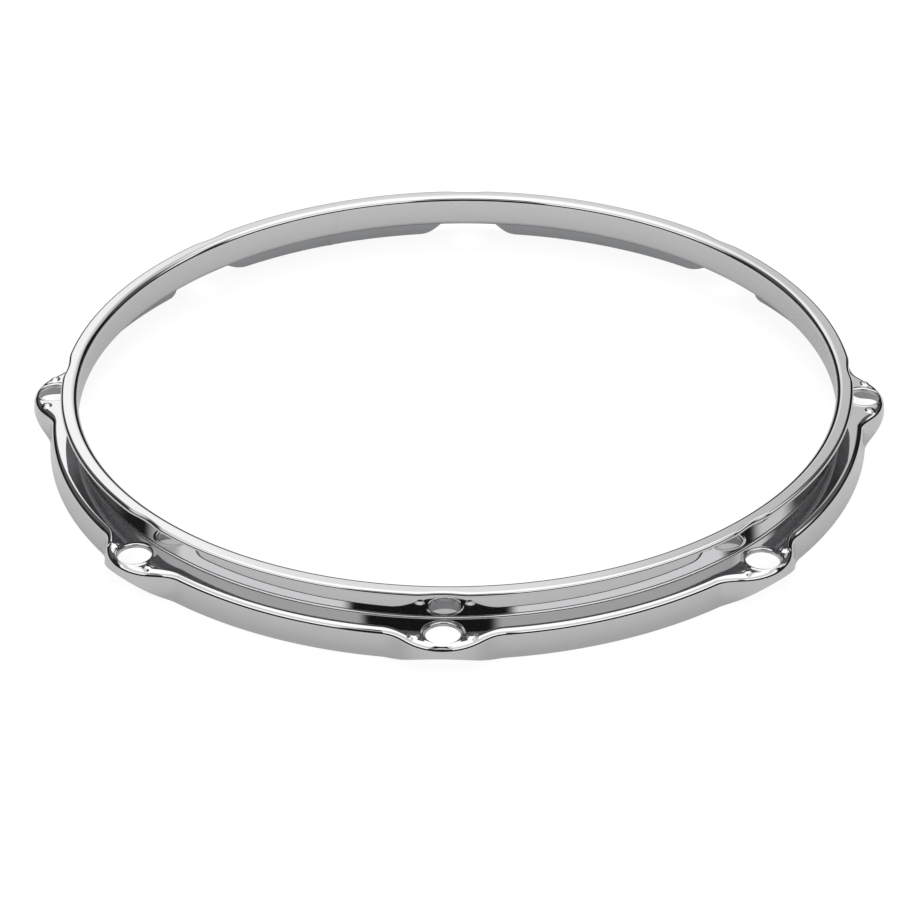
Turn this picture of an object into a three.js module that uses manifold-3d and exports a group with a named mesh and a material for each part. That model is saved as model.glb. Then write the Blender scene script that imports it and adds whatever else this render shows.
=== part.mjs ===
// A pressed steel drum hoop with three flanges and eight tension-rod ears, in millimetres, +Z up.
// The hoop is one rolled strip, closed by one butt weld and then pressed. It is built here region by
// region: an ear at each rod hole, a plain span between two ears, and, in one span, the two strip ends
// with the weld between them. Neighbouring regions meet face to face on radial planes.
// The origin is on the hoop's axis, level with the bottom edge of its skirt.
import * as THREE from "three";
import { mergeVertices } from "three/addons/utils/BufferGeometryUtils.js";
import Module from "manifold-3d";

const wasm = await Module();
wasm.setup();

// The strip and its cross-section
const wallInnerRadius = 180; // at its narrowest, clears the shell of a 14 inch drum and its head
const sheet = 2; // thickness of the steel
const bendInside = 1.2; // inside radius of each pressed bend
const flangeReach = 6.2; // the top flange, outwards from the wall
const lipRound = 1.5; // the flange's free edge is curled over
const lipUnderRound = 0.2;
const rimRise = 15.6; // from the ledge up to the top of the rim
const ledgeReach = 12.4; // from the wall's foot out to the face of the skirt, at its bottom edge
const skirtHeight = 13; // from the ledge down to the skirt's bottom edge
const wallLean = THREE.MathUtils.degToRad(4.5); // the wall and the skirt spread outwards as they go down
const skirtLean = THREE.MathUtils.degToRad(8);

// The ears
const earCount = 8;
const holeRadius = 7.5;
const holeRound = 0.9; // rolled edge round the top of a rod hole
const innerLand = 1.7; // flat metal between the wall's bend and the hole's rolled edge
const outerLand = 3.2; // from the hole's rolled edge to the face of the ear, at its bottom edge
const noseRadius = 27; // the ear's convex front, in plan
const flankRadius = 12; // the concave sides that lead from the skirt to the front
const trimShare = 0.7; // how much of the straight skirt is drawn up into the ear's front
const trimPower = 1.3; // how steeply the edge's rise follows the draw of the ear
const nubRadius = 3.1; // the two pressed pips beside each hole
const nubHeight = 0.9;
const nubSpacing = 24.6;
const nubOffset = 2.7; // outwards from the circle of rod holes
const nubRoot = 0.6; // depth of a pip's widest level below the ledge
const scallopDepth = 1.1; // the shallow notch in the top flange over each hole
const scallopWidth = 24;

// The weld
const weldWidth = 2.4;
const weldBead = 0.3; // what is left of the bead on the hidden side

// How finely curves are divided
const bendDivisions = 2;
const spanSteps = 6;
const noseSteps = 3;
const flankSteps = 3;
const holeSegments = 24;
const nubSegments = 10;
const nubRings = 6;
const scallopSegments = 96;

const cutOverrun = 1; // how far a cutter runs past the metal

// Derived radii and levels of the section
const bendOutside = bendInside + sheet;
const ledgeTop = skirtHeight;
const ledgeUnder = ledgeTop - sheet;
const rimTop = ledgeTop + rimRise;
const flangeUnder = rimTop - sheet;
const slantedSheet = sheet / Math.cos(wallLean); // the wall's thickness, measured level
const wallFootRadius = wallInside(ledgeTop) + slantedSheet;
const flangeRadius = wallInside(flangeUnder) + slantedSheet + flangeReach;
const skirtRadius = wallFootRadius + ledgeReach;
const leanIn = Math.tan(skirtLean); // how far the skirt comes in for each length up
const bendHeight = ledgeTop - bendOutside;
const bendCentre = skirtRadius - (bendOutside + bendHeight * Math.sin(skirtLean)) / Math.cos(skirtLean);
const straightSkirt = bendHeight + bendOutside * Math.sin(skirtLean);

// Derived places on an ear
const holeEdgeRadius = holeRadius + holeRound;
const rodCircleRadius = wallFootRadius + bendInside + innerLand + holeEdgeRadius;
const earRadius = rodCircleRadius + holeEdgeRadius + outerLand;
const earBulge = earRadius - skirtRadius;
const noseCentre = earRadius - noseRadius;
const flankCentre = skirtRadius + flankRadius;
const centreGap = noseRadius + flankRadius;
const earHalfAngle = Math.acos(
  (noseCentre ** 2 + flankCentre ** 2 - centreGap ** 2) / (2 * noseCentre * flankCentre),
);
const noseSweep = Math.atan2(
  flankCentre * Math.sin(earHalfAngle),
  flankCentre * Math.cos(earHalfAngle) - noseCentre,
);
const earPitch = (2 * Math.PI) / earCount;
const spanHalfAngle = earPitch / 2 - earHalfAngle;
const weldHalfAngle = weldWidth / 2 / wallInnerRadius;

const chrome = new THREE.MeshStandardMaterial({ color: 0xd9dcde, roughness: 0.08, metalness: 1 });
const weldChrome = new THREE.MeshStandardMaterial({ color: 0xcdd0d2, roughness: 0.2, metalness: 1 });

// The radius of the wall's inside face at a height. The rim's bend is tangent to it.
function wallInside(height) {
  const bendLevel = rimTop - bendOutside;
  const atBend = wallInnerRadius + bendOutside * (1 - 1 / Math.cos(wallLean));
  return atBend + (bendLevel - height) * Math.tan(wallLean);
}

// The cross-section, with x as the radius and y as the height. A bead thickens its hidden side.
function sectionShape(bead) {
  const turned = Math.PI + wallLean;
  const under = ledgeUnder - bead;
  const footBend = wallInside(under + bendOutside) + bendOutside / Math.cos(wallLean);
  const neck = wallInside(flangeUnder) + slantedSheet;
  const footAbove = wallInside(ledgeTop + bendInside) + slantedSheet;
  const neckBelow = wallInside(flangeUnder - bendInside) + slantedSheet;
  const edgeInner = skirtRadius - (sheet + bead) / Math.cos(skirtLean);
  const cornerInner = edgeInner - under * leanIn;
  const bendInner = cornerInner + bendInside * Math.sin(skirtLean);
  const shape = new THREE.Shape();
  shape.moveTo(skirtRadius, 0);
  shape.lineTo(skirtRadius - straightSkirt * leanIn, straightSkirt);
  shape.absarc(bendCentre, bendHeight, bendOutside, skirtLean, Math.PI / 2, false);
  shape.lineTo(wallFootRadius + bendInside, ledgeTop);
  shape.quadraticCurveTo(wallFootRadius, ledgeTop, footAbove, ledgeTop + bendInside);
  shape.lineTo(neckBelow, flangeUnder - bendInside);
  shape.quadraticCurveTo(neck, flangeUnder, neck + bendInside, flangeUnder);
  shape.lineTo(flangeRadius - lipUnderRound, flangeUnder);
  shape.quadraticCurveTo(flangeRadius, flangeUnder, flangeRadius, flangeUnder + lipUnderRound);
  shape.lineTo(flangeRadius, rimTop - lipRound);
  shape.quadraticCurveTo(flangeRadius, rimTop, flangeRadius - lipRound, rimTop);
  shape.lineTo(wallInnerRadius + bendOutside, rimTop);
  shape.absarc(wallInnerRadius + bendOutside, rimTop - bendOutside, bendOutside, Math.PI / 2, turned, false);
  shape.absarc(footBend, under + bendOutside, bendOutside, turned, 1.5 * Math.PI, false);
  shape.lineTo(cornerInner - bendInside, under);
  shape.quadraticCurveTo(cornerInner, under, bendInner, under - bendInside * Math.cos(skirtLean));
  shape.lineTo(edgeInner, 0);
  shape.closePath();
  return shape;
}

// A station is one place along the hoop: where the skirt's bottom edge is in plan, and which way it faces.
function station(x, y, facing) {
  return { x, y, facing, bearing: Math.atan2(y, x), bulge: Math.hypot(x, y) - skirtRadius };
}

function circleStations(from, to, steps) {
  return Array.from({ length: steps + 1 }, (_, i) => {
    const bearing = to + ((from - to) * i) / steps;
    return station(skirtRadius * Math.cos(bearing), skirtRadius * Math.sin(bearing), bearing);
  });
}

// An ear's outline in plan, about the +X axis: a convex nose between two concave flanks.
function earStations() {
  const half = [];
  for (let i = 1; i <= noseSteps; i += 1) {
    const facing = (noseSweep * i) / noseSteps;
    half.push(
      station(noseCentre + noseRadius * Math.cos(facing), noseRadius * Math.sin(facing), facing),
    );
  }
  for (let i = 1; i <= flankSteps; i += 1) {
    const facing = noseSweep + ((earHalfAngle - noseSweep) * i) / flankSteps;
    half.push(
      station(
        flankCentre * Math.cos(earHalfAngle) - flankRadius * Math.cos(facing),
        flankCentre * Math.sin(earHalfAngle) - flankRadius * Math.sin(facing),
        facing,
      ),
    );
  }
  const mirrored = half.map((s) => station(s.x, -s.y, -s.facing));
  return [...half.reverse(), station(earRadius, 0, 0), ...mirrored];
}

// Sweeps the section along stations, which run clockwise seen from above. Metal outboard of the ledge's
// middle follows the outline of the skirt, and the skirt's bottom edge rises where the ear is drawn out.
function sweep(stations, bead = 0) {
  const steps = stations.length - 1;
  const swept = new THREE.ExtrudeGeometry(sectionShape(bead), {
    depth: steps,
    steps,
    curveSegments: bendDivisions,
    bevelEnabled: false,
  });
  const ledgeMiddle = (wallFootRadius + skirtRadius) / 2;
  const place = swept.attributes.position;
  for (let i = 0; i < place.count; i += 1) {
    const radius = place.getX(i);
    const height = place.getY(i);
    const at = stations[Math.round(place.getZ(i))];
    if (height > ledgeTop || radius < ledgeMiddle) {
      place.setXYZ(i, radius * Math.cos(at.bearing), radius * Math.sin(at.bearing), height);
      continue;
    }
    const drawn = Math.max(at.bulge, 0) / earBulge;
    const rise = height > 0 ? 0 : trimShare * straightSkirt * drawn ** trimPower;
    const out = radius - skirtRadius - rise * leanIn;
    place.setXYZ(
      i,
      at.x + out * Math.cos(at.facing),
      at.y + out * Math.sin(at.facing),
      height + rise,
    );
  }
  return swept;
}

function solidOf(geometry) {
  const bare = geometry.clone();
  bare.deleteAttribute("normal");
  bare.deleteAttribute("uv");
  const merged = mergeVertices(bare);
  return new wasm.Manifold(
    new wasm.Mesh({
      numProp: 3,
      vertProperties: merged.attributes.position.array,
      triVerts: new Uint32Array(merged.index.array),
    }),
  );
}

function geometryOf(solid) {
  const mesh = solid.getMesh();
  const geometry = new THREE.BufferGeometry();
  geometry.setAttribute("position", new THREE.BufferAttribute(mesh.vertProperties, 3));
  geometry.setIndex(new THREE.BufferAttribute(mesh.triVerts, 1));
  geometry.computeVertexNormals();
  return geometry;
}

// The cutter for a rod hole: a straight bore that widens at the top into the rolled edge.
function holeCutter() {
  const low = -cutOverrun;
  const high = ledgeTop + cutOverrun;
  const eased = holeRound * (1 - Math.SQRT1_2);
  const profile = [
    new THREE.Vector2(0, low),
    new THREE.Vector2(holeRadius, low),
    new THREE.Vector2(holeRadius, ledgeTop - holeRound),
    new THREE.Vector2(holeRadius + eased, ledgeTop - eased),
    new THREE.Vector2(holeEdgeRadius, ledgeTop),
    new THREE.Vector2(holeEdgeRadius, high),
    new THREE.Vector2(0, high),
  ];
  const cutter = new THREE.LatheGeometry(profile, holeSegments);
  cutter.rotateX(Math.PI / 2);
  cutter.translate(rodCircleRadius, 0, 0);
  return cutter;
}

// The cutter for the scallop: a wide upright cylinder that just bites the flange's lip.
function scallopCutter() {
  const radius = (scallopWidth ** 2 / 4 + scallopDepth ** 2) / (2 * scallopDepth);
  const height = sheet + 2 * cutOverrun;
  const cutter = new THREE.CylinderGeometry(radius, radius, height, scallopSegments);
  cutter.rotateX(Math.PI / 2);
  cutter.translate(flangeRadius - scallopDepth + radius, 0, rimTop - sheet / 2);
  return cutter;
}

// A pip: the top of a flattened ball whose widest level is just inside the ledge.
function nub(side) {
  const semiHeight = nubHeight + nubRoot;
  const widest = nubRadius / Math.sqrt(1 - (nubRoot / semiHeight) ** 2);
  const pip = new THREE.SphereGeometry(1, nubSegments, nubRings);
  pip.rotateX(Math.PI / 2);
  pip.scale(widest, widest, semiHeight);
  pip.translate(rodCircleRadius + nubOffset, (side * nubSpacing) / 2, ledgeTop - nubRoot);
  return pip;
}

function earGeometry() {
  const ear = solidOf(sweep(earStations()))
    .add(solidOf(nub(-1)))
    .add(solidOf(nub(1)))
    .subtract(solidOf(holeCutter()))
    .subtract(solidOf(scallopCutter()));
  return geometryOf(ear);
}

function addMesh(group, name, geometry, material, bearing) {
  const mesh = new THREE.Mesh(geometry, material);
  mesh.name = name;
  mesh.rotation.z = bearing;
  group.add(mesh);
}

const hoop = new THREE.Group();
const ears = new THREE.Group();
const spans = new THREE.Group();
hoop.add(ears, spans);

const ear = earGeometry();
const span = sweep(circleStations(-spanHalfAngle, spanHalfAngle, spanSteps));
const firstStripEnd = sweep(circleStations(-spanHalfAngle, -weldHalfAngle, spanSteps / 2));
const secondStripEnd = sweep(circleStations(weldHalfAngle, spanHalfAngle, spanSteps / 2));
const weld = sweep(circleStations(-weldHalfAngle, weldHalfAngle, 1), weldBead);

// Ear 1 faces -Y, and the others follow anticlockwise seen from above. The weld is in the span after ear 5.
const firstBearing = -Math.PI / 2;
const weldedSpan = 5;
for (let k = 1; k <= earCount; k += 1) {
  const bearing = firstBearing + (k - 1) * earPitch;
  const middle = bearing + earPitch / 2;
  const next = (k % earCount) + 1;
  addMesh(ears, "ear_" + k, ear, chrome, bearing);
  if (k === weldedSpan) {
    addMesh(spans, "strip_end_" + k, firstStripEnd, chrome, middle);
    addMesh(spans, "butt_weld", weld, weldChrome, middle);
    addMesh(spans, "strip_end_" + next, secondStripEnd, chrome, middle);
  } else {
    addMesh(spans, "span_" + k + "_" + next, span, chrome, middle);
  }
}

export default hoop;
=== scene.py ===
import math

import bmesh
import bpy
import numpy as np
from mathutils import Matrix, Vector


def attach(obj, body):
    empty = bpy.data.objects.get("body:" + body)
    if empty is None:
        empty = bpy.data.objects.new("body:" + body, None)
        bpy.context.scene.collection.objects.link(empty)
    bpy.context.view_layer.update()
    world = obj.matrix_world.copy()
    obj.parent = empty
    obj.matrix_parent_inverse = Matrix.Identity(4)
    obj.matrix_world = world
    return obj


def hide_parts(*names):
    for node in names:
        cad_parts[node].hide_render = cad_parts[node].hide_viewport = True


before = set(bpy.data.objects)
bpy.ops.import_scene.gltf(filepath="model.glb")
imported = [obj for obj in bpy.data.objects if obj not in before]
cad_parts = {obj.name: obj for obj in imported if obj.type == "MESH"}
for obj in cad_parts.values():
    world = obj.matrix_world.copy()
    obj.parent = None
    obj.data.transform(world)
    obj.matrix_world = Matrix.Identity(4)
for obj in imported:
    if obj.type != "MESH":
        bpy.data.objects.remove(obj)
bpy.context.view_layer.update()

MM = 0.001

# The strip and its cross-section
SHEET = 2.0
WALL_INNER = 180.0  # the wall's inside radius where it is narrowest, at the rim's bend
BEND_INSIDE = 1.2
FLANGE_REACH = 6.2
LIP_ROUND = 1.7  # the flange's free edge is curled over
LIP_UNDER_ROUND = 0.2
RIM_RISE = 15.6  # from the ledge's top to the rim's top
LEDGE_REACH = 12.4
SKIRT_HEIGHT = 13.0
WALL_LEAN = math.radians(4.5)  # the wall and the skirt spread outwards as they go down
SKIRT_LEAN = math.radians(8)
EDGE_BREAK = 0.3  # the strip's bottom edges are broken by polishing

BEND_OUTSIDE = BEND_INSIDE + SHEET
LEDGE_TOP = SKIRT_HEIGHT
LEDGE_UNDER = LEDGE_TOP - SHEET
RIM_TOP = LEDGE_TOP + RIM_RISE
FLANGE_UNDER = RIM_TOP - SHEET


def wall_inside(height):
    """The radius of the wall's inside face at a height. The rim's bend is tangent to it."""
    at_bend = WALL_INNER + BEND_OUTSIDE * (1 - 1 / math.cos(WALL_LEAN))
    return at_bend + (RIM_TOP - BEND_OUTSIDE - height) * math.tan(WALL_LEAN)


def wall_outside(height):
    """The radius of the wall's outside face at a height."""
    return wall_inside(height) + SHEET / math.cos(WALL_LEAN)


FLANGE_RADIUS = wall_outside(FLANGE_UNDER) + FLANGE_REACH
SKIRT_RADIUS = wall_outside(LEDGE_TOP) + LEDGE_REACH
LEAN_IN = math.tan(SKIRT_LEAN)  # how far the skirt comes in for each length up
BEND_HEIGHT = LEDGE_TOP - BEND_OUTSIDE
BEND_INSET = (BEND_OUTSIDE + BEND_HEIGHT * math.sin(SKIRT_LEAN)) / math.cos(SKIRT_LEAN)
BEND_CENTRE = SKIRT_RADIUS - BEND_INSET
STRAIGHT_SKIRT = BEND_HEIGHT + BEND_OUTSIDE * math.sin(SKIRT_LEAN)
FLAT_START = wall_outside(LEDGE_TOP) + BEND_INSIDE
LEAST_FLAT = LEDGE_REACH / 3  # only the ledge's two flats have level edges longer than this

# The ears
EAR_COUNT = 8
ROD_CIRCLE = 194.27  # radius of the circle through the rod holes' centres
EAR_RADIUS = 205.86  # from the hoop's axis to the tip of an ear's nose
HOLE_RADIUS = 7.5
HOLE_ROUND = 0.9
HOLE_BEAD = 0.25  # the rolled edge stands a little above the ledge
BEAD_REACH = 1.2
NOSE_RADIUS = 27.0
FLANK_RADIUS = 12.0
EASE_LENGTH = 5.0  # the press draws the outline smooth over this length where its curve turns
TRIM_SHARE = 0.7  # the skirt's edge rises at the nose by this share of its straight height
TRIM_POWER = 1.3  # over 1, the edge starts to rise gently at an ear's flanks
PIP_RADIUS = 2.6
PIP_HEIGHT = 0.85
PIP_SPACING = 24.6
PIP_OFFSET = 2.1  # the pips lie this much farther out than the hole's centre
SCALLOP_DEPTH = 1.1  # the shallow notch in the flange above each hole
SCALLOP_WIDTH = 24.0

HOLE_EDGE = HOLE_RADIUS + HOLE_ROUND
EAR_BULGE = EAR_RADIUS - SKIRT_RADIUS
EAR_PITCH = 2 * math.pi / EAR_COUNT

# The weld
WELD_WIDTH = 2.4
WELD_BEAD = 0.3  # left under the ledge and inside the skirt, and ground flush elsewhere

# How finely the surfaces are divided, and how closely places are compared
BEND_STEPS = 12
TIGHT_STEPS = 6
LEDGE_CUTS = 54
EAR_STEPS = 150
SPAN_STEPS = 96
WELD_STEPS = 4
HOLE_STEPS = 144
ROUND_STEPS = 10
FINE_STEPS = 40  # the ear's outline is summed up this many times finer than it is divided
RUN_ON = 0.6  # metal past each end that only gives the end its smooth normals
NEAR = 0.1  # how closely a vertex is taken to lie at a level
JUST_OVER = 0.01  # what lies this much over the ledge belongs to the wall
MERGE = 1e-4  # places closer together than this are one
SWEPT_TURN = 1.0  # radians of the first, plain sweep, before it is laid along its stations
FOLD = math.radians(35)  # surfaces that meet more sharply than this keep their edge


def colour(hex_code):
    """An sRGB hex colour as the linear colour that shaders take."""
    shares = [int(hex_code[i : i + 2], 16) / 255 for i in (1, 3, 5)]
    return [s / 12.92 if s <= 0.04045 else ((s + 0.055) / 1.055) ** 2.4 for s in shares] + [1.0]


def node(tree, kind, links=None, inputs=None, **settings):
    """Adds a node to the tree with its settings, its unlinked inputs and the links to the rest."""
    made = tree.nodes.new(kind)
    for name, value in settings.items():
        setattr(made, name, value)
    for name, value in (inputs or {}).items():
        made.inputs[name].default_value = value
    for name, source in (links or {}).items():
        tree.links.new(source, made.inputs[name])
    return made


# The pressed strip


def section(bm, bead):
    """The strip's cross-section as one face in the XZ plane, its corners rounded by bevels."""
    square = math.pi / 2
    under = LEDGE_UNDER - bead
    skirt_inner = SKIRT_RADIUS - (SHEET + bead) / math.cos(SKIRT_LEAN)
    skirt_turn = square - SKIRT_LEAN
    ledge_turn = square - WALL_LEAN
    rim_turn = square + WALL_LEAN
    # Each corner as if it were sharp, by radius and height, with its bend, its turn and its facets
    corners = [
        (SKIRT_RADIUS, 0, EDGE_BREAK, square, TIGHT_STEPS),
        (SKIRT_RADIUS - LEDGE_TOP * LEAN_IN, LEDGE_TOP, BEND_OUTSIDE, skirt_turn, BEND_STEPS),
        (wall_outside(LEDGE_TOP), LEDGE_TOP, BEND_INSIDE, ledge_turn, TIGHT_STEPS),
        (wall_outside(FLANGE_UNDER), FLANGE_UNDER, BEND_INSIDE, rim_turn, TIGHT_STEPS),
        (FLANGE_RADIUS, FLANGE_UNDER, LIP_UNDER_ROUND, square, TIGHT_STEPS),
        (FLANGE_RADIUS, RIM_TOP, LIP_ROUND, square, BEND_STEPS),
        (wall_inside(RIM_TOP), RIM_TOP, BEND_OUTSIDE, rim_turn, BEND_STEPS),
        (wall_inside(under), under, BEND_OUTSIDE, ledge_turn, BEND_STEPS),
        (skirt_inner - under * LEAN_IN, under, BEND_INSIDE, skirt_turn, TIGHT_STEPS),
        (skirt_inner, 0, EDGE_BREAK, square, TIGHT_STEPS),
    ]
    verts = [bm.verts.new((x, 0, z)) for x, z, *_ in corners]
    bm.faces.new(verts)
    for vert, (_, _, radius, turn, steps) in zip(verts, corners):
        bmesh.ops.bevel(
            bm,
            geom=[vert],
            offset=radius * math.tan(turn / 2),
            offset_type="OFFSET",
            segments=steps,
            profile=0.5,
            affect="VERTICES",
            material=-1,
            clamp_overlap=False,
        )
    flats = []
    for edge in bm.edges:
        a, b = (v.co for v in edge.verts)
        level = abs(a.z - b.z) < MERGE and a.z < LEDGE_TOP + NEAR
        if level and abs(a.x - b.x) > LEAST_FLAT:
            flats.append(edge)
    bmesh.ops.subdivide_edges(bm, edges=flats, cuts=LEDGE_CUTS)


def circle_stations(start, end, steps):
    """Places on the plain skirt's face, evenly from start to end: each one's bearing from the
    hoop's axis, its x and y, and the bearing that the face looks to there."""
    made = []
    for i in range(steps + 1):
        bearing = start + (end - start) * i / steps
        x = SKIRT_RADIUS * math.cos(bearing)
        y = SKIRT_RADIUS * math.sin(bearing)
        made.append((bearing, x, y, bearing))
    return made


nose_centre = EAR_RADIUS - NOSE_RADIUS
flank_centre = SKIRT_RADIUS + FLANK_RADIUS
ear_half_angle = math.acos(
    (nose_centre**2 + flank_centre**2 - (NOSE_RADIUS + FLANK_RADIUS) ** 2)
    / (2 * nose_centre * flank_centre)
)
nose_sweep = math.atan2(
    flank_centre * math.sin(ear_half_angle),
    flank_centre * math.cos(ear_half_angle) - nose_centre,
)
span_half_angle = EAR_PITCH / 2 - ear_half_angle
weld_half_angle = WELD_WIDTH / 2 / WALL_INNER


def ear_stations(steps):
    """The same along an ear's face about the +X axis: a convex nose between two concave flanks."""
    nose_length = NOSE_RADIUS * nose_sweep
    length = nose_length + FLANK_RADIUS * (nose_sweep - ear_half_angle)

    def turned(s):
        """The facing angle summed along the outline from the nose's middle to the length s."""
        s = abs(s)
        if s < nose_length:
            return s * s / 2 / NOSE_RADIUS
        past = s - nose_length
        at_flank = nose_length**2 / 2 / NOSE_RADIUS
        return at_flank + nose_sweep * past - past * past / 2 / FLANK_RADIUS

    def facing(s):
        """The facing angle at the length s, a mean over the length that the press draws smooth."""
        reach = min(EASE_LENGTH, length - s)
        if reach < MERGE:
            return ear_half_angle
        return (turned(s + reach) - turned(s - reach)) / (2 * reach)

    half = [(EAR_RADIUS, 0.0, 0.0)]
    x, y = EAR_RADIUS, 0.0
    count = steps // 2 * FINE_STEPS
    for i in range(count):
        s = length * (i + 0.5) / count
        x -= math.sin(facing(s)) * length / count
        y += math.cos(facing(s)) * length / count
        if (i + 1) % FINE_STEPS == 0:
            half.append((x, y, facing(length * (i + 1) / count)))
    # The summed outline misses the plain circle by a hair, which is spread along it
    miss_x = SKIRT_RADIUS * math.cos(ear_half_angle) - x
    miss_y = SKIRT_RADIUS * math.sin(ear_half_angle) - y
    eased = []
    for i, (x, y, turn) in enumerate(half):
        share = i / (len(half) - 1)
        weight = share * share * (3 - 2 * share)
        eased.append((x + miss_x * weight, y + miss_y * weight, turn))
    mirrored = [(x, -y, -turn) for x, y, turn in reversed(eased[1:])]
    return [(math.atan2(y, x), x, y, turn) for x, y, turn in mirrored + eased]


def bell(distance, radius):
    """A smooth rise from 0 at the radius to 1 at the centre."""
    share = min(distance / radius, 1.0)
    return (1 - share * share) ** 2


def plateau(distance, radius):
    """Like the bell, with a flatter top and steeper sides."""
    share = min(distance / radius, 1.0)
    return (1 - share**4) ** 2


def clamp(value):
    """The value kept between 0 and 1."""
    return min(max(value, 0.0), 1.0)


def sweep(stations, bead=0.0, is_ear=False):
    """The section carried along the stations as one closed body, with its ends capped."""
    bm = bmesh.new()
    section(bm, bead)
    steps = len(stations) - 1
    bmesh.ops.spin(
        bm,
        geom=bm.faces[:] + bm.edges[:] + bm.verts[:],
        cent=(0, 0, 0),
        axis=(0, 0, 1),
        angle=SWEPT_TURN,
        steps=steps,
    )
    lip_start = FLANGE_RADIUS - LIP_ROUND - NEAR
    hole_axis = Vector((ROD_CIRCLE, 0))
    for v in bm.verts:
        radius = math.hypot(v.co.x, v.co.y)
        height = v.co.z
        index = round(math.atan2(v.co.y, v.co.x) / SWEPT_TURN * steps)
        bearing, x, y, facing = stations[index]
        inner = Vector((radius * math.cos(bearing), radius * math.sin(bearing), height))
        if height > LEDGE_TOP + JUST_OVER or radius < FLAT_START:
            # The wall and the flange stay round, apart from the notch in the flange's lip
            if is_ear and height > LEDGE_TOP and radius > lip_start:
                cut = SCALLOP_DEPTH * bell(abs(inner.y), SCALLOP_WIDTH / 2)
                inner -= cut * Vector((math.cos(bearing), math.sin(bearing), 0))
            v.co = inner
            continue
        # The skirt follows the outline, and the ledge stretches between it and the wall
        drawn = max(math.hypot(x, y) - SKIRT_RADIUS, 0.0) / EAR_BULGE
        at_bottom = height < EDGE_BREAK + NEAR
        rise = TRIM_SHARE * STRAIGHT_SKIRT * drawn**TRIM_POWER if at_bottom else 0.0
        out = radius - SKIRT_RADIUS - rise * LEAN_IN
        outer = Vector((x + out * math.cos(facing), y + out * math.sin(facing), height + rise))
        v.co = inner.lerp(outer, clamp((radius - FLAT_START) / (BEND_CENTRE - FLAT_START)))
        if is_ear and height > LEDGE_UNDER - BEND_INSIDE:
            for side in (-1, 1):
                pip = Vector((ROD_CIRCLE + PIP_OFFSET, side * PIP_SPACING / 2, v.co.z))
                v.co.z += PIP_HEIGHT * plateau((v.co - pip).length, PIP_RADIUS)
            past_hole = max((v.co.xy - hole_axis).length - HOLE_EDGE, 0.0)
            v.co.z += HOLE_BEAD * bell(past_hole, BEAD_REACH)
    bmesh.ops.recalc_face_normals(bm, faces=bm.faces)
    return bm


def lathe(points, steps):
    """A profile of (radius, height) points spun full circle about Z, closed where it meets Z."""
    bm = bmesh.new()
    verts = [bm.verts.new((x, 0, z)) for x, z in points]
    edges = [bm.edges.new(pair) for pair in zip(verts, verts[1:])]
    bmesh.ops.spin(
        bm,
        geom=verts + edges,
        cent=(0, 0, 0),
        axis=(0, 0, 1),
        angle=2 * math.pi,
        steps=steps,
        use_merge=True,
    )
    bmesh.ops.remove_doubles(bm, verts=bm.verts, dist=MERGE)
    bmesh.ops.recalc_face_normals(bm, faces=bm.faces)
    return bm


def object_of(bm, name):
    """A new object in the scene from a bmesh, which it uses up."""
    mesh = bpy.data.meshes.new(name)
    bm.to_mesh(mesh)
    bm.free()
    made = bpy.data.objects.new(name, mesh)
    bpy.context.scene.collection.objects.link(made)
    return made


def with_modifier(subject, kind, **settings):
    """The mesh of an object once a modifier is worked out."""
    modifier = subject.modifiers.new(kind.lower(), kind)
    for name, value in settings.items():
        setattr(modifier, name, value)
    depsgraph = bpy.context.evaluated_depsgraph_get()
    mesh = bpy.data.meshes.new_from_object(subject.evaluated_get(depsgraph), depsgraph=depsgraph)
    subject.modifiers.remove(modifier)
    return mesh


def pierce(body):
    """Cuts the rod hole with its rolled top edge."""
    high = LEDGE_TOP + SHEET
    profile = [(0, 0), (HOLE_RADIUS, 0)]
    for i in range(ROUND_STEPS + 1):
        turn = math.pi / 2 * i / ROUND_STEPS
        across = HOLE_EDGE - HOLE_ROUND * math.cos(turn)
        profile.append((across, LEDGE_TOP + HOLE_BEAD - HOLE_ROUND + HOLE_ROUND * math.sin(turn)))
    profile += [(HOLE_EDGE, high), (0, high)]
    bm = lathe(profile, HOLE_STEPS)
    bmesh.ops.translate(bm, verts=bm.verts, vec=(ROD_CIRCLE, 0, 0))
    cutter = object_of(bm, "hole_cutter")
    body.data = with_modifier(
        body,
        "BOOLEAN",
        object=cutter,
        operation="DIFFERENCE",
        solver="EXACT",
    )
    bpy.data.objects.remove(cutter)


def store_normals(mesh):
    """Stores each corner's area-weighted normal, split where the surface folds sharply."""
    bm = bmesh.new()
    bm.from_mesh(mesh)
    for f in bm.faces:
        f.smooth = True
    for e in bm.edges:
        e.smooth = len(e.link_faces) == 2 and e.calc_face_angle(0) < FOLD
    bm.to_mesh(mesh)
    bm.free()
    helper = bpy.data.objects.new("helper", mesh)
    bpy.context.scene.collection.objects.link(helper)
    weighted = with_modifier(helper, "WEIGHTED_NORMAL", keep_sharp=True)
    bpy.data.objects.remove(helper)
    vectors = np.empty(len(weighted.loops) * 3, np.float32)
    weighted.corner_normals.foreach_get("vector", vectors)
    kept = mesh.attributes.new("kept_normal", "FLOAT_VECTOR", "CORNER")
    kept.data.foreach_set("vector", vectors)
    bpy.data.meshes.remove(weighted)


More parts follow.
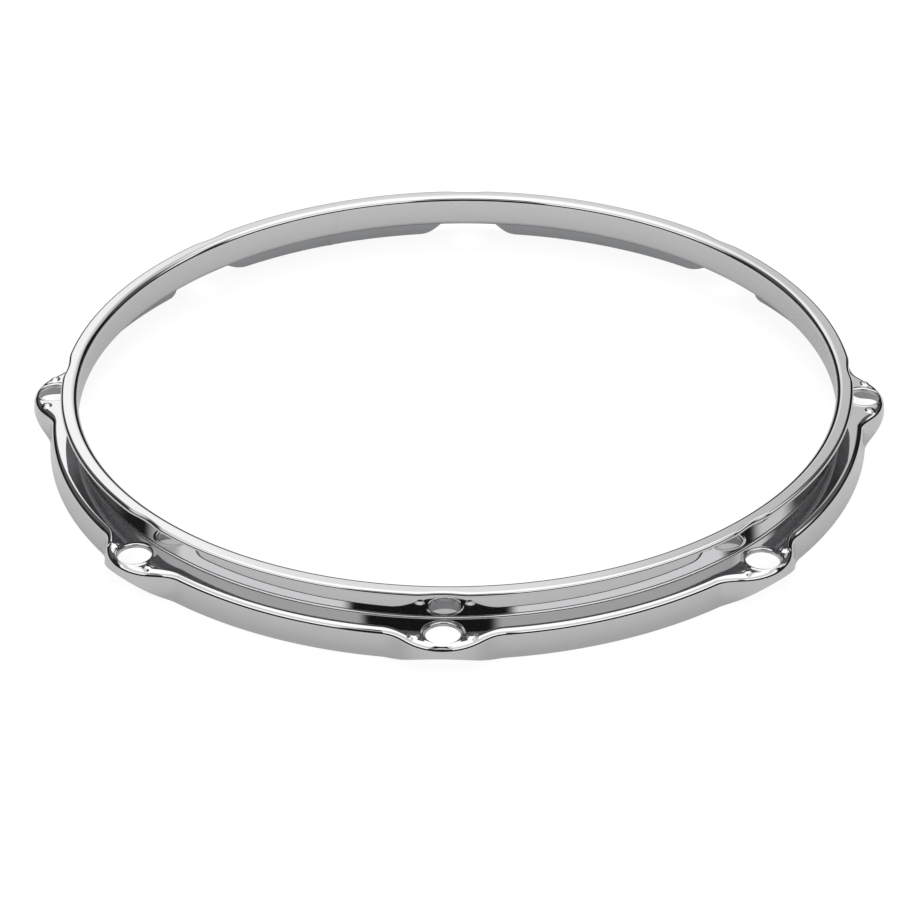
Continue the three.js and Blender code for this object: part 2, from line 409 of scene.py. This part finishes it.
def trim_ends(mesh, start, end):
    """Cuts the run-on off both ends on radial planes and caps them. Stored normals are kept."""
    bm = bmesh.new()
    bm.from_mesh(mesh)
    layer = bm.loops.layers.float_vector["kept_normal"]
    for bearing, side in ((start, -1), (end, 1)):
        bmesh.ops.bisect_plane(
            bm,
            geom=bm.verts[:] + bm.edges[:] + bm.faces[:],
            dist=MERGE,
            plane_co=(0, 0, 0),
            plane_no=(-side * math.sin(bearing), side * math.cos(bearing), 0),
            clear_outer=True,
        )
        rim = [e for e in bm.edges if e.is_boundary]
        for cap in bmesh.ops.holes_fill(bm, edges=rim, sides=0)["faces"]:
            cap.smooth = False
            cap.normal_update()
            for loop in cap.loops:
                loop[layer] = cap.normal
                loop.edge.smooth = False
    bm.to_mesh(mesh)
    bm.free()


def run_on(stations):
    """The stations with one more past each end, on the plain circle."""
    first, last = stations[0][0], stations[-1][0]
    step = RUN_ON / SKIRT_RADIUS
    before = circle_stations(first - step, first, 1)[0]
    after = circle_stations(last, last + step, 1)[1]
    return [before] + stations + [after]


def region(name, stations, finish, bead=0.0, is_ear=False):
    """One region of the strip about the +X axis, from its first station to its last, in metres."""
    body = object_of(sweep(run_on(stations), bead, is_ear), name)
    if is_ear:
        pierce(body)
    mesh = body.data
    bpy.data.objects.remove(body)
    store_normals(mesh)
    trim_ends(mesh, stations[0][0], stations[-1][0])
    dress(mesh, finish)
    mesh.transform(Matrix.Scale(MM, 4))
    return mesh


# Materials

HAZE_SIZE = 14.0  # patches of slightly duller plate left by the buffing wheel
HAZE_DETAIL = 3.0  # how many times the patches are broken up finer
HAZE_FADE = 0.55  # how much of their strength each finer set keeps
WAVE_SIZE = 26.0  # long shallow waves that pressing leaves in the steel under the plate
WAVE_DETAIL = 1.0
WAVE_FADE = 0.4
NOISE_LOW = 0.3  # the noise seldom leaves the range from low to high
NOISE_HIGH = 0.7


def chrome_plate(name, tint, roughness, wander, ripple):
    """Chromium plate: a hard, nearly neutral mirror that gives back a little over half of the
    light. Its roughness wanders either way in patches. The ripple, in millimetres, is the depth of
    the waves in the steel under it."""
    made = bpy.data.materials.new(name)
    made.use_nodes = True
    tree = made.node_tree
    shader = tree.nodes["Principled BSDF"]
    shader.inputs["Base Color"].default_value = colour(tint)
    shader.inputs["Metallic"].default_value = 1.0
    spot = node(tree, "ShaderNodeTexCoord").outputs["Object"]
    haze = node(
        tree,
        "ShaderNodeTexNoise",
        {"Vector": spot},
        {"Scale": 1 / (HAZE_SIZE * MM), "Detail": HAZE_DETAIL, "Roughness": HAZE_FADE},
    )
    spread = node(
        tree,
        "ShaderNodeMapRange",
        {"Value": haze.outputs["Fac"]},
        {
            "From Min": NOISE_LOW,
            "From Max": NOISE_HIGH,
            "To Min": roughness - wander,
            "To Max": roughness + wander,
        },
    )
    tree.links.new(spread.outputs["Result"], shader.inputs["Roughness"])
    wave = node(
        tree,
        "ShaderNodeTexNoise",
        {"Vector": spot},
        {"Scale": 1 / (WAVE_SIZE * MM), "Detail": WAVE_DETAIL, "Roughness": WAVE_FADE},
    )
    bump = node(
        tree,
        "ShaderNodeBump",
        {"Height": wave.outputs["Fac"]},
        {"Strength": 1.0, "Distance": ripple * MM},
    )
    tree.links.new(bump.outputs["Normal"], shader.inputs["Normal"])
    return made


# Steel polished before it was plated: sharp black and white reflections, with a little haze
polished = chrome_plate("chrome_on_polished_steel", "#c7c7c8", 0.045, 0.012, 0.004)
# Steel as it came from the press, which no buffing wheel reached: the same metal, but satin
unpolished = chrome_plate("chrome_on_unpolished_steel", "#c6c7c9", 0.36, 0.06, 0.05)
# Under the flange: satin, and a darker grey that is painted shade for the dim reflections in the
# recess
painted_shade_under_flange = chrome_plate("satin_chrome_darkened_as_painted_shade", "#98999b", 0.36, 0.06, 0.05)
# The ground weld: bright, but a little duller and more rippled than the strip beside it
weld_finish = chrome_plate("chrome_on_ground_weld", "#c4c5c6", 0.06, 0.02, 0.03)

FACES_DOWN = -0.5  # the part of a face's normal, up or outwards, under which it looks down or in


def dress(mesh, finish):
    """The finish all over, and a duller plate where no buffing wheel reaches: under the ledge,
    inside the skirt and under the flange, where its darker grey is painted shade."""
    finishes = [finish, unpolished, painted_shade_under_flange]
    for plate in finishes:
        mesh.materials.append(plate)
    for face in mesh.polygons:
        x, y, z = face.center
        outward = (face.normal.x * x + face.normal.y * y) / math.hypot(x, y)
        if z < LEDGE_UNDER + NEAR and min(outward, face.normal.z) < FACES_DOWN:
            face.material_index = finishes.index(unpolished)
        # faces that look down under the flange take the darker grey: painted shade
        elif face.normal.z < FACES_DOWN:
            face.material_index = finishes.index(painted_shade_under_flange)


# The pieces

fine_ear = region("fine_ear", ear_stations(EAR_STEPS), polished, is_ear=True)
fine_span = region(
    "fine_span",
    circle_stations(-span_half_angle, span_half_angle, SPAN_STEPS),
    polished,
)
fine_first_end = region(
    "fine_first_end",
    circle_stations(-span_half_angle, -weld_half_angle, SPAN_STEPS // 2),
    polished,
)
fine_second_end = region(
    "fine_second_end",
    circle_stations(weld_half_angle, span_half_angle, SPAN_STEPS // 2),
    polished,
)
fine_weld = region(
    "fine_weld",
    circle_stations(-weld_half_angle, weld_half_angle, WELD_STEPS),
    weld_finish,
    bead=WELD_BEAD,
)


def set_in_place(node_name, mesh, bearing):
    """A copy of a region turned to its bearing, standing for the CAD node of the same name."""
    copy = mesh.copy()
    copy.name = node_name + "_pressing"
    copy.transform(Matrix.Rotation(bearing, 4, "Z"))
    kept = copy.attributes["kept_normal"]
    vectors = np.empty(len(copy.loops) * 3, np.float32)
    kept.data.foreach_get("vector", vectors)
    copy.attributes.remove(kept)
    turn = np.array(Matrix.Rotation(bearing, 3, "Z"), np.float32)
    copy.normals_split_custom_set(vectors.reshape(-1, 3) @ turn.T)
    piece = bpy.data.objects.new(node_name + "_pressing", copy)
    bpy.context.scene.collection.objects.link(piece)
    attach(piece, "root")
    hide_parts(node_name)


FIRST_BEARING = -math.pi / 2  # the first ear faces the camera
WELDED_SPAN = 5  # the strip's two ends meet in the span after this ear
for k in range(1, EAR_COUNT + 1):
    bearing = FIRST_BEARING + (k - 1) * EAR_PITCH
    middle = bearing + EAR_PITCH / 2
    following = k % EAR_COUNT + 1
    set_in_place(f"ear_{k}", fine_ear, bearing)
    if k == WELDED_SPAN:
        set_in_place(f"strip_end_{k}", fine_first_end, middle)
        set_in_place("butt_weld", fine_weld, middle)
        set_in_place(f"strip_end_{following}", fine_second_end, middle)
    else:
        set_in_place(f"span_{k}_{following}", fine_span, middle)

# The stage: a white table under a white light tent that is hung with black cards

WHITE = "#ffffff"
FULL_WHITE = 1.0  # the strength at which white cloth and the background are just white
TABLE_GREY = "#d0d0d0"
TABLE_SIZE = 8.0  # the stage's lengths are in metres
TENT_RADIUS = 2.4
TENT_RINGS = 16
TENT_SIDES = 48
TENT_FOOT = math.radians(-3)
CAMERA_LIFT = 0.9  # white that the camera sees on the table beyond its own light
SHADOW_KEPT = 0.2  # the share of the table's own light and shadow that the camera sees
CHROME_LIFT = 0.25  # how far the chrome sees the table lifted so: more would wash out its greys
LAMP_SIZE = 1.2
LAMP_POWER = 18.0  # watts
LAMP_HEIGHT = 1.6
LAMP_BACK = 1.25


def table_paint():
    """Matt, pale and lit by the studio. The camera sees it lifted to white, with the hoop's soft
    shadow kept, and the chrome sees part of that lift."""
    made = bpy.data.materials.new("matt_white_table")
    made.use_nodes = True
    tree = made.node_tree
    tree.nodes.clear()
    matt = node(tree, "ShaderNodeBsdfDiffuse", inputs={"Color": colour(TABLE_GREY)})
    glow = {"Color": colour(WHITE), "Strength": CAMERA_LIFT}
    lift = node(tree, "ShaderNodeEmission", inputs=glow)
    faint = node(tree, "ShaderNodeMixShader", {2: matt.outputs[0]}, {0: SHADOW_KEPT})
    lifted = node(tree, "ShaderNodeAddShader", {0: faint.outputs[0], 1: lift.outputs[0]})
    path = node(tree, "ShaderNodeLightPath")
    seen = node(
        tree,
        "ShaderNodeMath",
        {0: path.outputs["Is Glossy Ray"]},
        {1: CHROME_LIFT},
        operation="MULTIPLY",
    )
    for kind in ("Is Camera Ray", "Is Transmission Ray"):
        rays = {0: seen.outputs[0], 1: path.outputs[kind]}
        seen = node(tree, "ShaderNodeMath", rays, operation="MAXIMUM")
    mixed = node(
        tree,
        "ShaderNodeMixShader",
        {0: seen.outputs[0], 1: matt.outputs[0], 2: lifted.outputs[0]},
    )
    node(tree, "ShaderNodeOutputMaterial", {"Surface": mixed.outputs[0]})
    return made


# Each panel of the tent: its bearing to the right of the front, its half width, the heights that
# it spans and how soft its edges are, all in degrees, and how bright it is against white cloth. The
# last one hung covers the others.
PANELS = [
    ("low black card all round", 0, 181, -10, 23, 2, 0.02),
    ("overhead softbox", 0, 181, 52, 100, 6, 1.75),
    ("strip softbox at the left front", -54, 28, 21, 33, 2, 1.75),
    ("strip softbox at the right front", 48, 32, 21, 33, 2, 1.75),
    ("black card at the left", -108, 14, -10, 36, 3, 0.03),
    ("narrow black card at the right", 87, 6, -10, 37, 3, 0.03),
    ("strip softbox at the right", 103, 9, 21, 40, 3, 1.5),
    ("camera's opening", -6, 22, -10, 31, 2, 0.02),
    ("gap in the cloth over the camera", -7, 20, 38, 52, 2, 0.02),
    ("grey card at the left back", -131, 22, 20, 45, 5, 0.15),
    ("grey card at the right back", 131, 22, 20, 45, 5, 0.15),
    ("bright cloth behind the middle", -179, 9, 26, 52, 4, 1.25),
    ("softbox behind the left", -158, 12, 26, 56, 4, 1.55),
    ("shaded cloth behind the right", 161, 14, 26, 56, 6, 0.85),
    ("black card behind the right", 148, 14, -10, 31, 2, 0.02),
]


def tent_cloth():
    """Back-lit white cloth with cards and softboxes, as the chrome sees it."""
    made = bpy.data.materials.new("back_lit_tent_cloth")
    made.use_nodes = True
    tree = made.node_tree
    tree.nodes.clear()
    spot = node(tree, "ShaderNodeTexCoord").outputs["Object"]
    way = node(tree, "ShaderNodeVectorMath", {0: spot}, operation="NORMALIZE").outputs[0]
    part = node(tree, "ShaderNodeSeparateXYZ", {0: way})
    front = node(tree, "ShaderNodeMath", {0: part.outputs["Y"]}, {1: -1.0}, operation="MULTIPLY")
    bearing = node(
        tree,
        "ShaderNodeMath",
        {0: part.outputs["X"], 1: front.outputs[0]},
        operation="ARCTAN2",
    )
    height = node(tree, "ShaderNodeMath", {0: part.outputs["Z"]}, operation="ARCSINE")
    light = node(tree, "ShaderNodeValue")
    light.outputs[0].default_value = FULL_WHITE
    for _, middle, half, low, high, soft, brightness in PANELS:
        cover = []
        for angle, centre, reach in (
            (bearing, middle, half),
            (height, (low + high) / 2, (high - low) / 2),
        ):
            off = node(
                tree,
                "ShaderNodeMath",
                {0: angle.outputs[0]},
                {1: math.radians(centre)},
                operation="SUBTRACT",
            )
            off = node(
                tree,
                "ShaderNodeMath",
                {0: off.outputs[0]},
                {1: math.pi, 2: -math.pi},
                operation="WRAP",
            )
            off = node(tree, "ShaderNodeMath", {0: off.outputs[0]}, operation="ABSOLUTE")
            edge = node(
                tree,
                "ShaderNodeMapRange",
                {"Value": off.outputs[0]},
                {
                    "From Min": math.radians(reach + soft),
                    "From Max": math.radians(reach - soft),
                },
                interpolation_type="SMOOTHSTEP",
            )
            cover.append(edge.outputs[0])
        mask = node(tree, "ShaderNodeMath", {0: cover[0], 1: cover[1]}, operation="MULTIPLY")
        light = node(
            tree,
            "ShaderNodeMix",
            {0: mask.outputs[0], 2: light.outputs[0]},
            {3: brightness},
            data_type="FLOAT",
        )
    white = {"Color": colour(WHITE)}
    glow = node(tree, "ShaderNodeEmission", {"Strength": light.outputs[0]}, white)
    node(tree, "ShaderNodeOutputMaterial", {"Surface": glow.outputs[0]})
    return made


bm = bmesh.new()
bmesh.ops.create_grid(bm, x_segments=1, y_segments=1, size=TABLE_SIZE / 2)
table = object_of(bm, "table")
table.data.materials.append(table_paint())

# Only reflections see the tent. The table and the camera see the plain white world.
arc = []
for i in range(TENT_RINGS + 1):
    rise = TENT_FOOT + (math.pi / 2 - TENT_FOOT) * i / TENT_RINGS
    arc.append((TENT_RADIUS * math.cos(rise), TENT_RADIUS * math.sin(rise)))
tent = object_of(lathe(arc, TENT_SIDES), "light_tent")
tent.data.materials.append(tent_cloth())
tent.visible_camera = False
tent.visible_diffuse = False
tent.visible_transmission = False
tent.visible_shadow = False

lamp_data = bpy.data.lights.new("softbox_over_the_back", "AREA")
lamp_data.shape = "SQUARE"
lamp_data.size = LAMP_SIZE
lamp_data.energy = LAMP_POWER
lamp = bpy.data.objects.new("softbox_over_the_back", lamp_data)
lamp_place = Vector((0, LAMP_BACK, LAMP_HEIGHT))
lamp_aim = lamp_place.to_track_quat("Z", "Y").to_matrix().to_4x4()
lamp.matrix_world = Matrix.Translation(lamp_place) @ lamp_aim
lamp.visible_glossy = False
bpy.context.scene.collection.objects.link(lamp)

world = bpy.data.worlds.new("white_studio")
bpy.context.scene.world = world
world.use_nodes = True
background = world.node_tree.nodes["Background"]
background.inputs["Color"].default_value = colour(WHITE)
background.inputs["Strength"].default_value = FULL_WHITE

# The camera, on the photograph's view. Its place is worked out in millimetres from the middle of the
# rim's top.

ELEVATION = math.radians(32.125)
ROLL = math.radians(0.882)
TURN = math.radians(2.328)
DISTANCE = 1258.1
SIDE = 3.125  # the rim's middle lies this far right of the picture's middle
RISE = 39.794  # and this far over it
LENS = 105.32
SENSOR = 36.0

up = Vector((0, math.sin(ELEVATION), math.cos(ELEVATION)))
forward = Vector((0, math.cos(ELEVATION), -math.sin(ELEVATION)))
cam_right = Vector((math.cos(ROLL), 0, 0)) - math.sin(ROLL) * up
cam_up = Vector((math.sin(ROLL), 0, 0)) + math.cos(ROLL) * up
pose = Matrix((cam_right, cam_up, -forward)).transposed().to_4x4()
pose.translation = -SIDE * cam_right - RISE * cam_up - DISTANCE * forward
pose = Matrix.Translation((0, 0, RIM_TOP)) @ Matrix.Rotation(TURN, 4, "Z") @ pose
pose.translation *= MM
camera_data = bpy.data.cameras.new("camera")
camera_data.lens = LENS
camera_data.sensor_width = SENSOR
camera = bpy.data.objects.new("camera", camera_data)
camera.matrix_world = pose
bpy.context.scene.collection.objects.link(camera)
bpy.context.scene.camera = camera
bpy.context.scene.view_settings.view_transform = "Standard"
